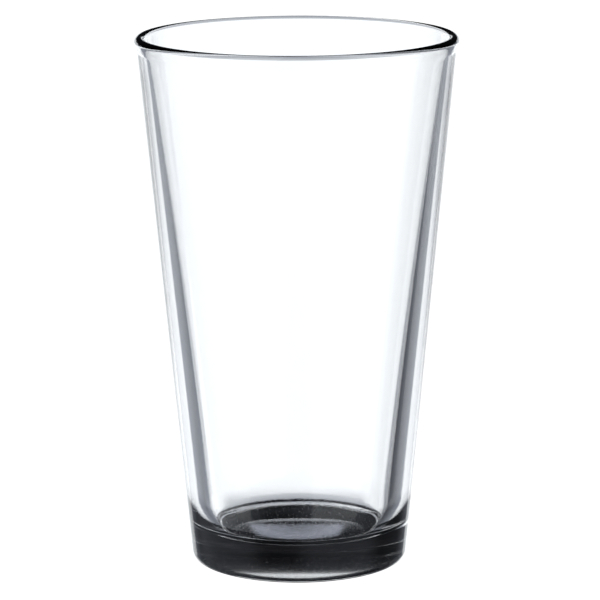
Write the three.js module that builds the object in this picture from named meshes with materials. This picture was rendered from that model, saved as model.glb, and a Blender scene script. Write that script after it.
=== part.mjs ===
// A straight-sided pint glass: one piece of pressed soda-lime glass. A mould forms the outside and a
// plunger forms the cavity, so the whole glass is a single surface of revolution about +Z.
// Millimetres, +Z up. The origin is on the axis, in the plane that the foot stands on.
import * as THREE from "three";

// Outside
const HEIGHT = 149.2; // foot to rim, 5 7/8 in
const RIM_DIAMETER = 90.0; // widest, over the lip; the side itself runs to 88.9, 3 1/2 in
const FOOT_DIAMETER = 60.2; // where the side would meet the table if the heel weren't rounded, 2 3/8 in
const HEEL_RADIUS = 2.6; // rounding between the side and the foot

// Lip: both faces of the side swing outwards to a thicker, flame-polished edge
const LIP_THICKNESS = 2.95; // across the lip, under its rounded top
const LIP_FLARE = 0.55; // how far the outside swings out
const FLARE_HEIGHT = 3.5; // over which both faces swing out
const LIP_CROWN = 1.43; // height of the rounded top

// Cavity
const BASE_WALL = 6.3; // thickness of the side at the height of the floor
const RIM_WALL = 2.6; // thickness that the side would have at the lip without the flare
const WALL_TAPER = 1.7; // 1 thins the side evenly towards the lip; more keeps it thick for longer
const FLOOR_THICKNESS = 9.7; // from the table up to the lowest point of the floor
const FLOOR_DISH = 0.5; // how much higher the floor is at its edge than at its centre
const CORNER_RADIUS = 3; // tight rounding at the edge of the floor
const BLEND_RADIUS = 36; // wide rounding that draws the side in towards that corner
const BLEND_HEIGHT = 9.3; // how far above the floor the wide rounding starts

// Underside
const BEARING_WIDTH = 2.2; // flat ring that stands on the table
const PUNT_DEPTH = 1.3; // height of the hollow inside that ring, at the centre
const PUNT_EDGE_RADIUS = 0.8; // rounding between the ring and the hollow

// Fineness of the mesh
const SEGMENTS = 96; // round the axis
const WALL_RINGS = 10; // up the inside of the side
const FLARE_RINGS = 5; // up each face of the flare
const CROWN_RINGS = 10; // over the rounded top of the lip, an even number
const CHORD_ERROR = 0.02; // most that a chord of the outline may lie off its arc

const QUARTER_TURN = Math.PI / 2;

// Points along a circular arc. The angles are in radians, counted anticlockwise from +X.
function arc(centre, radius, from, to) {
  const step = 2 * Math.acos(1 - CHORD_ERROR / radius);
  const divisions = Math.max(3, Math.ceil(Math.abs(to - from) / step));
  const clockwise = to < from;
  return new THREE.EllipseCurve(centre.x, centre.y, radius, radius, from, to, clockwise).getPoints(divisions);
}

// The side is a cone from the foot to the lip, which starts where the rounded top ends.
const lipBase = HEIGHT - LIP_CROWN;
const flareBase = lipBase - FLARE_HEIGHT;
const sideSlope = (RIM_DIAMETER / 2 - LIP_FLARE - FOOT_DIAMETER / 2) / lipBase;
const sideAngle = Math.atan(sideSlope);

function sideRadius(z) {
  return FOOT_DIAMETER / 2 + z * sideSlope;
}

// 0 below the flare and 1 at the lip, along an S-shaped curve.
function flare(z) {
  return THREE.MathUtils.smoothstep(z, flareBase, lipBase);
}

const heelCentre = new THREE.Vector2(
  sideRadius(HEEL_RADIUS) - HEEL_RADIUS / Math.cos(sideAngle),
  HEEL_RADIUS,
);

// The underside: a shallow dome that runs into the rounded inner edge of the bearing ring.
function underside() {
  const edge = new THREE.Vector2(heelCentre.x - BEARING_WIDTH, PUNT_EDGE_RADIUS);
  const domeRadius =
    (edge.x ** 2 + PUNT_DEPTH ** 2 - 2 * PUNT_EDGE_RADIUS * PUNT_DEPTH) / (2 * PUNT_DEPTH);
  const domeCentre = new THREE.Vector2(0, PUNT_DEPTH - domeRadius);
  const meeting = edge.clone().sub(domeCentre).angle();
  return [
    ...arc(domeCentre, domeRadius, QUARTER_TURN, meeting),
    ...arc(edge, PUNT_EDGE_RADIUS, meeting + Math.PI, 3 * QUARTER_TURN),
  ];
}

// Heights of rings from one level to another, without the first.
function levels(from, to, rings) {
  return Array.from({ length: rings }, (_, i) => from + ((to - from) * (i + 1)) / rings);
}

// How far the outside is from the axis, over the lip's flare too.
function outsideRadius(z) {
  return sideRadius(z) + LIP_FLARE * flare(z);
}

// How far the cavity's wall is from the axis. At the lip it swings out by what is left of the
// outside's flare once the wall has thickened.
function cavityRadius(z) {
  const up = (z - FLOOR_THICKNESS) / (lipBase - FLOOR_THICKNESS);
  const wall = BASE_WALL + (RIM_WALL - BASE_WALL) * up ** WALL_TAPER;
  return sideRadius(z) - wall + (RIM_WALL + LIP_FLARE - LIP_THICKNESS) * flare(z);
}

// The lip: up the outside's flare, over the rounded top and down the cavity's flare.
function lip() {
  const middle = (RIM_DIAMETER - LIP_THICKNESS) / 2;
  const crown = new THREE.EllipseCurve(middle, lipBase, LIP_THICKNESS / 2, LIP_CROWN, 0, Math.PI);
  return [
    new THREE.Vector2(outsideRadius(flareBase), flareBase),
    ...levels(flareBase, lipBase, FLARE_RINGS).map((z) => new THREE.Vector2(outsideRadius(z), z)),
    ...crown.getPoints(CROWN_RINGS),
    ...levels(lipBase, flareBase, FLARE_RINGS).map((z) => new THREE.Vector2(cavityRadius(z), z)),
  ];
}

// The cavity runs down from the lip, draws in by a wide rounding, turns a tight corner and ends in
// a dished floor.
function cavity() {
  const blendTop = FLOOR_THICKNESS + BLEND_HEIGHT;
  const slope = Math.atan(cavityRadius(blendTop + 0.5) - cavityRadius(blendTop - 0.5));
  const blend = new THREE.Vector2(
    cavityRadius(blendTop) - BLEND_RADIUS * Math.cos(slope),
    blendTop + BLEND_RADIUS * Math.sin(slope),
  );
  const corner = new THREE.Vector2(0, FLOOR_THICKNESS + FLOOR_DISH + CORNER_RADIUS);
  corner.x = blend.x + Math.sqrt((BLEND_RADIUS - CORNER_RADIUS) ** 2 - (blend.y - corner.y) ** 2);
  const cornerTop = Math.atan2(corner.y - blend.y, corner.x - blend.x);
  const dishRadius =
    (corner.x ** 2 + (corner.y - FLOOR_THICKNESS) ** 2 - CORNER_RADIUS ** 2) / (2 * FLOOR_DISH);
  const dishCentre = new THREE.Vector2(0, FLOOR_THICKNESS + dishRadius);
  const floorEdge = corner.clone().sub(dishCentre).angle() - 2 * Math.PI;
  const wall = levels(flareBase, blendTop, WALL_RINGS)
    .slice(0, -1)
    .map((z) => new THREE.Vector2(cavityRadius(z), z));
  return [
    ...wall,
    ...arc(blend, BLEND_RADIUS, -slope, cornerTop),
    ...arc(corner, CORNER_RADIUS, cornerTop, floorEdge),
    ...arc(dishCentre, dishRadius, floorEdge, -QUARTER_TURN),
  ];
}

// The outline runs from the axis under the foot, up the outside, over the lip and down to the floor.
function outline() {
  const points = [
    ...underside(),
    ...arc(heelCentre, HEEL_RADIUS, -QUARTER_TURN, -sideAngle),
    ...lip(),
    ...cavity(),
  ];
  points[0].x = 0;
  points.at(-1).x = 0;
  return points.filter((point, i) => i === 0 || point.distanceTo(points[i - 1]) > 1e-6);
}

function clearGlass() {
  return new THREE.MeshStandardMaterial({
    color: 0xeef3f4,
    roughness: 0.02,
    metalness: 0,
    transparent: true,
    opacity: 0.35,
  });
}

const tumbler = new THREE.Mesh(new THREE.LatheGeometry(outline(), SEGMENTS), clearGlass());
tumbler.name = "tumbler";
tumbler.rotation.x = QUARTER_TURN; // the lathe turns about +Y, and the glass stands along +Z

const pintGlass = new THREE.Group();
pintGlass.add(tumbler);

export default pintGlass;
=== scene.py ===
import math

import bmesh
import bpy
from mathutils import Matrix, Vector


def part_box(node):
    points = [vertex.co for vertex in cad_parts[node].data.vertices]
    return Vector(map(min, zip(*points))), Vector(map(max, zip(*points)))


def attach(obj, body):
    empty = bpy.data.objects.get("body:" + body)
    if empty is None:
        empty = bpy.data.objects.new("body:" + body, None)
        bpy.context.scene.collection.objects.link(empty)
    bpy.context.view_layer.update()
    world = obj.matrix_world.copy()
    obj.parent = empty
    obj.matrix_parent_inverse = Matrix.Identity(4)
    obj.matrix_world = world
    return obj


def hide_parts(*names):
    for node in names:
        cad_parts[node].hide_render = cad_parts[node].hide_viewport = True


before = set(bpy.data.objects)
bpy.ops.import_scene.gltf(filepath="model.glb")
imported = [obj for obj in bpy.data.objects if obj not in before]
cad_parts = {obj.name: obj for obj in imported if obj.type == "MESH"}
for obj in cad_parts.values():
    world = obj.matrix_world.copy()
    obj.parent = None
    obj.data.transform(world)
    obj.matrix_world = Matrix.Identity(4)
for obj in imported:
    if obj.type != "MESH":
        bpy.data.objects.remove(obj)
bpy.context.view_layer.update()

foot_corner, lip_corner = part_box("tumbler")
height = lip_corner.z
rim_radius = lip_corner.x
foot_radius = 0.0301
heel_radius = 0.0026
lip_thickness = 0.00295
lip_flare = 0.00055
flare_height = 0.0035
lip_crown = 0.00143
wall_at_floor = 0.0063
wall_at_rim = 0.0026
wall_taper = 1.7
floor_thickness = 0.0097
floor_dish = 0.0005
corner_radius = 0.003
blend_radius = 0.036
blend_height = 0.0093
bearing_width = 0.0022
punt_depth = 0.0013
punt_edge_radius = 0.0008
facets = 360
punt_rings, punt_edge_rings = 14, 5
heel_rings, side_rings = 12, 24
flare_rings, crown_rings = 14, 28
cavity_rings, blend_rings, corner_rings, floor_rings = 44, 14, 12, 18
quarter_turn = math.pi / 2


def bend(centre, radius, start, end, steps):
    """Points along a circular arc of the outline, as (distance from the axis, height)."""
    return [
        (
            centre[0] + radius * math.cos(start + (end - start) * i / steps),
            centre[1] + radius * math.sin(start + (end - start) * i / steps),
        )
        for i in range(steps + 1)
    ]


lip_base = height - lip_crown
flare_base = lip_base - flare_height
side_slope = (rim_radius - lip_flare - foot_radius) / lip_base
side_lean = math.atan(side_slope)


def flare_at(z):
    """How far the lip's outward swing has gone at a height, 0 below it and 1 at the lip."""
    up = min(max((z - flare_base) / flare_height, 0), 1)
    return up * up * (3 - 2 * up)


def side_at(z):
    return foot_radius + z * side_slope


def outside_at(z):
    return side_at(z) + lip_flare * flare_at(z)


def inside_at(z):
    up = max((z - floor_thickness) / (lip_base - floor_thickness), 0)
    wall = wall_at_floor + (wall_at_rim - wall_at_floor) * up**wall_taper
    return side_at(z) - wall + (wall_at_rim + lip_flare - lip_thickness) * flare_at(z)


def levels(start, end, steps):
    """Heights from one level to another in equal steps, without the first."""
    return [start + (end - start) * i / steps for i in range(1, steps + 1)]


def underside_outline():
    """The hollow under the foot, a shallow dome with a rounded edge down to the bearing ring."""
    edge = (heel_centre[0] - bearing_width, punt_edge_radius)
    dome_radius = (edge[0] ** 2 + punt_depth**2 - 2 * punt_edge_radius * punt_depth) / (2 * punt_depth)
    dome_centre = (0, punt_depth - dome_radius)
    meeting = math.atan2(edge[1] - dome_centre[1], edge[0] - dome_centre[0])
    return bend(dome_centre, dome_radius, quarter_turn, meeting, punt_rings) + bend(
        edge, punt_edge_radius, meeting + math.pi, 3 * quarter_turn, punt_edge_rings
    )


def lip_outline():
    """Up the flare outside, over the rounded top and down the flare inside."""
    middle = rim_radius - lip_thickness / 2
    crown = [math.pi * i / crown_rings for i in range(crown_rings + 1)]
    return (
        [(outside_at(z), z) for z in levels(flare_base, lip_base, flare_rings)]
        + [
            (middle + lip_thickness / 2 * math.cos(a), lip_base + lip_crown * math.sin(a))
            for a in crown
        ]
        + [(inside_at(z), z) for z in levels(lip_base, flare_base, flare_rings)]
    )


def cavity_outline():
    """Down the inside of the wall, round the wide blend and the corner, and in over the dished floor."""
    blend_top = floor_thickness + blend_height
    reach = 0.0005
    slope = math.atan((inside_at(blend_top + reach) - inside_at(blend_top - reach)) / (2 * reach))
    blend = (
        inside_at(blend_top) - blend_radius * math.cos(slope),
        blend_top + blend_radius * math.sin(slope),
    )
    corner_height = floor_thickness + floor_dish + corner_radius
    drop = blend[1] - corner_height
    corner = (blend[0] + math.sqrt((blend_radius - corner_radius) ** 2 - drop**2), corner_height)
    corner_top = math.atan2(corner[1] - blend[1], corner[0] - blend[0])
    rise = corner_height - floor_thickness
    dish_radius = (corner[0] ** 2 + rise**2 - corner_radius**2) / (2 * floor_dish)
    dish_centre = (0, floor_thickness + dish_radius)
    floor_edge = math.atan2(corner[1] - dish_centre[1], corner[0] - dish_centre[0])
    wall = [(inside_at(z), z) for z in levels(flare_base, blend_top, cavity_rings)[:-1]]
    return (
        wall
        + bend(blend, blend_radius, -slope, corner_top, blend_rings)
        + bend(corner, corner_radius, corner_top, floor_edge, corner_rings)
        + bend(dish_centre, dish_radius, floor_edge, -quarter_turn, floor_rings)
    )


heel_centre = (side_at(heel_radius) - heel_radius / math.cos(side_lean), heel_radius)
side_bottom = heel_centre[1] - heel_radius * math.sin(side_lean)
side = [(side_at(z), z) for z in levels(side_bottom, flare_base, side_rings)]
outline = (
    underside_outline()
    + bend(heel_centre, heel_radius, -quarter_turn, -side_lean, heel_rings)
    + side
    + lip_outline()
    + cavity_outline()
)


def turn(points):
    """Turns an outline that starts and ends on the axis into a closed solid about +Z."""
    same_point = 1e-8
    on_axis = 1e-7
    mesh = bmesh.new()
    rings = []
    last = None
    for r, z in points:
        if last is not None and math.dist(last, (r, z)) < same_point:
            continue
        last = (r, z)
        if r < on_axis:
            rings.append([mesh.verts.new((0, 0, z))])
            continue
        angles = [2 * math.pi * k / facets for k in range(facets)]
        rings.append([mesh.verts.new((r * math.cos(a), r * math.sin(a), z)) for a in angles])
    for lower, upper in zip(rings, rings[1:]):
        for k in range(facets):
            j = (k + 1) % facets
            if len(lower) == 1:
                mesh.faces.new((lower[0], upper[j], upper[k]))
            elif len(upper) == 1:
                mesh.faces.new((lower[k], lower[j], upper[0]))
            else:
                mesh.faces.new((lower[k], lower[j], upper[j], upper[k]))
    for face in mesh.faces:
        face.smooth = True
    bmesh.ops.recalc_face_normals(mesh, faces=mesh.faces)
    return mesh


turned = turn(outline)
tumbler_mesh = bpy.data.meshes.new("pressed_tumbler")
turned.to_mesh(tumbler_mesh)
turned.free()
tumbler = bpy.data.objects.new("pressed_tumbler", tumbler_mesh)
bpy.context.scene.collection.objects.link(tumbler)

clear_glass = bpy.data.materials.new("clear_soda_lime_glass")
clear_glass.use_nodes = True
glass_nodes = clear_glass.node_tree.nodes
glass_links = clear_glass.node_tree.links
glass_shader = glass_nodes["Principled BSDF"]
glass_shader.inputs["Base Color"].default_value = (1, 1, 1, 1)
glass_shader.inputs["IOR"].default_value = 1.52
glass_shader.inputs["Transmission Weight"].default_value = 1


def glass_node(kind, **settings):
    node = glass_nodes.new(kind)
    for key, value in settings.items():
        setattr(node, key, value)
    return node


def glass_ramp(value, low, high, at_low, at_high):
    """Goes smoothly from one setting to another as a value rises from low to high."""
    node = glass_node("ShaderNodeMapRange", interpolation_type="SMOOTHSTEP")
    glass_links.new(value, node.inputs["Value"])
    for name, setting in (("From Min", low), ("From Max", high), ("To Min", at_low), ("To Max", at_high)):
        node.inputs[name].default_value = setting
    return node.outputs["Result"]


def glass_noise(scale, detail):
    node = glass_node("ShaderNodeTexNoise")
    node.inputs["Scale"].default_value = scale
    node.inputs["Detail"].default_value = detail
    glass_links.new(place.outputs["Object"], node.inputs["Vector"])
    return node.outputs[0]


def glass_maths(operation, first, second):
    node = glass_node("ShaderNodeMath", operation=operation)
    glass_links.new(first, node.inputs[0])
    glass_links.new(second, node.inputs[1])
    return node.outputs[0]


place = glass_node("ShaderNodeTexCoord")
heights = glass_node("ShaderNodeSeparateXYZ")
glass_links.new(place.outputs["Object"], heights.inputs[0])

# The underside keeps the mould's matt texture, because it is never fire-polished.
matt_full, matt_gone = 0.0022, 0.0034
matt_roughness = 0.13
matt_underside = glass_ramp(heights.outputs["Z"], matt_full, matt_gone, matt_roughness, 0.0)

# A little dust lies in specks on the middle of the floor.
speck_scale = 2200.0
speck_edge, speck_middle = 0.74, 0.80
speck_roughness = 0.35
dust_inside, dust_outside = 0.021, 0.024
dust_specks = glass_ramp(glass_noise(speck_scale, 0.0), speck_edge, speck_middle, 0.0, speck_roughness)
flat_place = glass_node("ShaderNodeVectorMath", operation="MULTIPLY")
glass_links.new(place.outputs["Object"], flat_place.inputs[0])
flat_place.inputs[1].default_value = (1, 1, 0)
off_axis = glass_node("ShaderNodeVectorMath", operation="LENGTH")
glass_links.new(flat_place.outputs[0], off_axis.inputs[0])
dusty = glass_ramp(off_axis.outputs["Value"], dust_inside, dust_outside, 1.0, 0.0)
glass_links.new(
    glass_maths("MAXIMUM", matt_underside, glass_maths("MULTIPLY", dust_specks, dusty)),
    glass_shader.inputs["Roughness"],
)

# Pressing leaves slow waves in the surface, and a fine grain low down, where the glass chilled first.
wave_depth, wave_scale = 0.000007, 90.0
grain_depth, grain_scale = 0.000004, 2600.0
grain_full, grain_gone = 0.02, 0.055
slow_waves = glass_node("ShaderNodeBump")
slow_waves.inputs["Strength"].default_value = 1.0
slow_waves.inputs["Distance"].default_value = wave_depth
glass_links.new(glass_noise(wave_scale, 1.0), slow_waves.inputs["Height"])
chill_grain = glass_node("ShaderNodeBump")
chill_grain.inputs["Distance"].default_value = grain_depth
grain_strength = glass_ramp(heights.outputs["Z"], grain_full, grain_gone, 1.0, 0.0)
glass_links.new(grain_strength, chill_grain.inputs["Strength"])
glass_links.new(glass_noise(grain_scale, 1.0), chill_grain.inputs["Height"])
glass_links.new(slow_waves.outputs["Normal"], chill_grain.inputs["Normal"])
glass_links.new(chill_grain.outputs["Normal"], glass_shader.inputs["Normal"])
tumbler_mesh.materials.append(clear_glass)

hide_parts("tumbler")
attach(tumbler, "root")

# ---------------------------------------------------------------------------
# The studio floor: a wide, pale, evenly lit sheet, a hair below the foot. The glass
# neither mirrors it nor shows it, because it has the surroundings to show there.
# ---------------------------------------------------------------------------
floor_reach = 6.0
floor_drop = 0.0002
floor_facets = 128
floor_colour = (0.8, 0.8, 0.8, 1)
floor_roughness = 0.9
floor_glow = 1.1
floor_mesh = bpy.data.meshes.new("pale_floor")
floor_sheet = bmesh.new()
bmesh.ops.create_circle(floor_sheet, cap_ends=True, segments=floor_facets, radius=floor_reach)
floor_sheet.to_mesh(floor_mesh)
floor_sheet.free()
pale_floor = bpy.data.objects.new("pale_floor", floor_mesh)
pale_floor.location.z = -floor_drop
bpy.context.scene.collection.objects.link(pale_floor)
floor_paint = bpy.data.materials.new("pale_floor_paint")
floor_paint.use_nodes = True
floor_shader = floor_paint.node_tree.nodes["Principled BSDF"]
floor_shader.inputs["Base Color"].default_value = floor_colour
floor_shader.inputs["Roughness"].default_value = floor_roughness
floor_shader.inputs["Emission Color"].default_value = (1, 1, 1, 1)
floor_shader.inputs["Emission Strength"].default_value = floor_glow
floor_mesh.materials.append(floor_paint)
pale_floor.visible_transmission = False
pale_floor.visible_glossy = False

# ---------------------------------------------------------------------------
# The black felt: a round pad under the foot and a low collar round it. They show only
# in the glass, and give the thick base its dark look.
# ---------------------------------------------------------------------------
pad_radius = 0.0295
pad_drop = 0.0001
collar_radius = 0.033
collar_height = 0.0050
felt_facets = 128
felt_colour = (0.012, 0.011, 0.014, 1)
felt_roughness = 0.9


def black_felt(name):
    felt = bpy.data.materials.new(name)
    felt.use_nodes = True
    shader = felt.node_tree.nodes["Principled BSDF"]
    shader.inputs["Base Color"].default_value = felt_colour
    shader.inputs["Roughness"].default_value = felt_roughness
    shader.inputs["Specular IOR Level"].default_value = 0.0
    return felt


pad_mesh = bpy.data.meshes.new("black_pad")
pad_sheet = bmesh.new()
bmesh.ops.create_circle(pad_sheet, cap_ends=True, segments=felt_facets, radius=pad_radius)
pad_sheet.to_mesh(pad_mesh)
pad_sheet.free()
black_pad = bpy.data.objects.new("black_pad", pad_mesh)
black_pad.location.z = -pad_drop
bpy.context.scene.collection.objects.link(black_pad)
pad_mesh.materials.append(black_felt("pad_felt"))
black_pad.visible_camera = False

collar_mesh = bpy.data.meshes.new("black_collar")
collar_band = bmesh.new()
bmesh.ops.create_cone(
    collar_band,
    cap_ends=False,
    segments=felt_facets,
    radius1=collar_radius,
    radius2=collar_radius,
    depth=collar_height,
)
collar_band.to_mesh(collar_mesh)
collar_band.free()
black_collar = bpy.data.objects.new("black_collar", collar_mesh)
black_collar.location.z = collar_height / 2
bpy.context.scene.collection.objects.link(black_collar)
collar_mesh.materials.append(black_felt("collar_felt"))
black_collar.visible_camera = False
black_collar.visible_glossy = False
black_collar.visible_diffuse = False
black_collar.visible_shadow = False

# ---------------------------------------------------------------------------
# The studio's surroundings, which only the glass sees: white windows between dark grey
# gaps, and one small softbox behind the glass. The open background is plain white.
# ---------------------------------------------------------------------------
surroundings = bpy.data.worlds.new("surroundings")
bpy.context.scene.world = surroundings
surroundings.use_nodes = True
sky = surroundings.node_tree
sky.nodes.clear()


def sky_node(kind, **settings):
    node = sky.nodes.new(kind)
    for key, value in settings.items():
        setattr(node, key, value)
    return node


def sky_math(operation, *values):
    node = sky_node("ShaderNodeMath", operation=operation)
    for i, value in enumerate(values):
        if isinstance(value, (int, float)):
            node.inputs[i].default_value = value
        else:
            sky.links.new(value, node.inputs[i])
    return node.outputs[0]


def all_of(first, *others):
    for other in others:
        first = sky_math("MULTIPLY", first, other)
    return first


def brightest(first, *others):
    for other in others:
        first = sky_math("MAXIMUM", first, other)
    return first


def sky_ramp(value, low, high, at_low, at_high):
    """Goes smoothly from one setting to another as a value rises from low to high."""
    node = sky_node("ShaderNodeMapRange", interpolation_type="SMOOTHSTEP")
    sky.links.new(value, node.inputs["Value"])
    for name, setting in (("From Min", low), ("From Max", high), ("To Min", at_low), ("To Max", at_high)):
        if isinstance(setting, (int, float)):
            node.inputs[name].default_value = setting
        else:
            sky.links.new(setting, node.inputs[name])
    return node.outputs["Result"]


# All angles here are in degrees. Azimuth goes from straight behind the glass towards its
# right, and elevation goes up from the horizon.
heading = sky_node("ShaderNodeTexCoord")
parts = sky_node("ShaderNodeSeparateXYZ")
sky.links.new(heading.outputs["Generated"], parts.inputs[0])
bearing = sky_math("ARCTAN2", parts.outputs["X"], parts.outputs["Y"])
azimuth = sky_math("MULTIPLY", bearing, math.degrees(1))
elevation = sky_math("MULTIPLY", sky_math("ARCSINE", parts.outputs["Z"]), math.degrees(1))


def turned_from(heading_angle):
    """How many degrees a direction is turned away from a heading, 0 to 180."""
    turned_by = sky_math("SUBTRACT", azimuth, heading_angle)
    return sky_math("ABSOLUTE", sky_math("WRAP", turned_by, 180.0, -180.0))


# Light that has gone into the glass and out again twice has crossed four surfaces.
four_surfaces = 4.0
path = sky_node("ShaderNodeLightPath")
straight_through = sky_math("LESS_THAN", path.outputs["Glossy Depth"], 0.5)
in_and_out_twice = sky_math("COMPARE", path.outputs["Transmission Depth"], four_surfaces, 0.5)

# The windows end just above the horizon, widen a little low down, and dim towards the ground.
main_heading, left_heading, front_right_heading = -2.0, -90.0, 135.0
top_full, top_gone = 3.0, 5.5
ground_dim, ground_bright, ground_share = -42.0, -24.0, 0.32
haze_dim, haze_bright, haze_share = -21.0, -11.0, 0.93
wide_below, narrow_above = -20.0, -10.0
wide_half, narrow_half = 29.0, 26.5
side_full, side_gone = -1.0, 1.5
off_main = turned_from(main_heading)
off_others = sky_math("MINIMUM", turned_from(left_heading), turned_from(front_right_heading))
window_top = sky_ramp(elevation, top_full, top_gone, 1.0, 0.0)
window_low = all_of(
    sky_ramp(elevation, ground_dim, ground_bright, ground_share, 1.0),
    sky_ramp(elevation, haze_dim, haze_bright, haze_share, 1.0),
)
half_width = sky_ramp(elevation, wide_below, narrow_above, wide_half, narrow_half)


def window(turned_away):
    past_edge = sky_math("SUBTRACT", turned_away, half_width)
    across = sky_ramp(past_edge, side_full, side_gone, 1.0, 0.0)
    return all_of(across, window_top, window_low)


def softbox(heading_angle, half_across, bottom, top):
    """A small rectangle of light, seen only by light that has gone through the glass twice."""
    side_blur, end_blur = 1.0, 0.4
    side_on = half_across - side_blur
    side_off = half_across + side_blur
    across = sky_ramp(turned_from(heading_angle), side_on, side_off, 1.0, 0.0)
    above = sky_ramp(elevation, bottom - end_blur, bottom + end_blur, 0.0, 1.0)
    below = sky_ramp(elevation, top - end_blur, top + end_blur, 1.0, 0.0)
    return all_of(across, above, below, in_and_out_twice)


# A grey card stands low in the middle of the main window.
card_inside, card_outside = 9.0, 16.0
card_full, card_top = -24.0, -19.0
card_shade = 0.66
low_card = all_of(
    sky_ramp(off_main, card_inside, card_outside, 1.0, 0.0),
    sky_ramp(elevation, card_full, card_top, card_shade, 0.0),
)
main_window = all_of(window(off_main), sky_math("SUBTRACT", 1.0, low_card))
other_windows = window(off_others)

# Low light from behind on the left keeps the inside clear when the glass is looked down into
# from the front right.
low_heading = -45.0
low_inside, low_outside = 25.0, 29.0
low_full, low_gone = -20.0, -17.0
low_across = sky_ramp(turned_from(low_heading), low_inside, low_outside, 1.0, 0.0)
low_reach = sky_ramp(elevation, low_full, low_gone, 1.0, 0.0)
low_window = all_of(low_across, low_reach, straight_through)

# The outside of the glass mirrors the other windows only above a level.
mirrored_from, mirrored_fully = -16.0, -12.0
mirrored_share = sky_ramp(elevation, mirrored_from, mirrored_fully, 0.0, 1.0)
through_glass = brightest(main_window, other_windows, low_window)
reflected = brightest(main_window, all_of(other_windows, mirrored_share))
white = sky_ramp(path.outputs["Is Transmission Ray"], 0.0, 1.0, reflected, through_glass)

# Away from the windows the studio falls off to a cool dark grey, nearly black above the horizon.
grey_near, grey_far = 26.0, 56.0
near_brightness, far_brightness = 0.34, 0.08
dark_from, dark_above, dark_share = -2.0, 8.0, 0.03
cool_grey = (0.93, 1.0, 1.14)
off_window = sky_math("MINIMUM", off_main, off_others)
side_grey = sky_ramp(off_window, grey_near, grey_far, near_brightness, far_brightness)
grey_low = sky_ramp(elevation, dark_from, dark_above, 1.0, dark_share)
grey_rgb = sky_node("ShaderNodeVectorMath", operation="SCALE")
grey_rgb.inputs[0].default_value = cool_grey
sky.links.new(all_of(side_grey, grey_low), grey_rgb.inputs["Scale"])

window_white = (1.17, 1.21, 1.24, 1)
softbox_white = (1.45, 1.55, 1.82)
background_white = (1.1, 1.1, 1.1, 1)
softbox_heading, softbox_half = -0.5, 6.2
softbox_bottom, softbox_top = 16.5, 18.8
mix = sky_node("ShaderNodeMix", data_type="RGBA")
sky.links.new(white, mix.inputs["Factor"])
sky.links.new(grey_rgb.outputs[0], mix.inputs["A"])
mix.inputs["B"].default_value = window_white
cool_light = sky_node("ShaderNodeVectorMath", operation="SCALE")
cool_light.inputs[0].default_value = softbox_white
softbox_light = softbox(softbox_heading, softbox_half, softbox_bottom, softbox_top)
sky.links.new(softbox_light, cool_light.inputs["Scale"])
lit = sky_node("ShaderNodeVectorMath", operation="ADD")
sky.links.new(mix.outputs["Result"], lit.inputs[0])
sky.links.new(cool_light.outputs[0], lit.inputs[1])
seen = sky_node("ShaderNodeMix", data_type="RGBA")
sky.links.new(path.outputs["Is Camera Ray"], seen.inputs["Factor"])
sky.links.new(lit.outputs[0], seen.inputs["A"])
seen.inputs["B"].default_value = background_white
glow = sky_node("ShaderNodeBackground")
sky.links.new(seen.outputs["Result"], glow.inputs["Color"])
out = sky_node("ShaderNodeOutputWorld")
sky.links.new(glow.outputs[0], out.inputs["Surface"])

bpy.context.scene.view_settings.view_transform = "Standard"

# ---------------------------------------------------------------------------
# The camera: it stands nearly a metre in front of the glass with a long lens, and looks
# down a little over the lip.
# ---------------------------------------------------------------------------
camera_distance, camera_height = 0.96436, 0.27315
pitch = math.radians(11.652)
roll = math.radians(0.283)
lens = bpy.data.cameras.new("studio_camera")
lens.sensor_width = 36
lens.lens = 210.27
lens.shift_x = 0.00335
lens.clip_start = 0.01
lens.clip_end = 100
studio_camera = bpy.data.objects.new("studio_camera", lens)
bpy.context.scene.collection.objects.link(studio_camera)
studio_camera.location = (0, -camera_distance, camera_height)
studio_camera.rotation_euler = (
    Matrix.Rotation(quarter_turn - pitch, 4, "X") @ Matrix.Rotation(-roll, 4, "Z")
).to_euler()
bpy.context.scene.camera = studio_camera
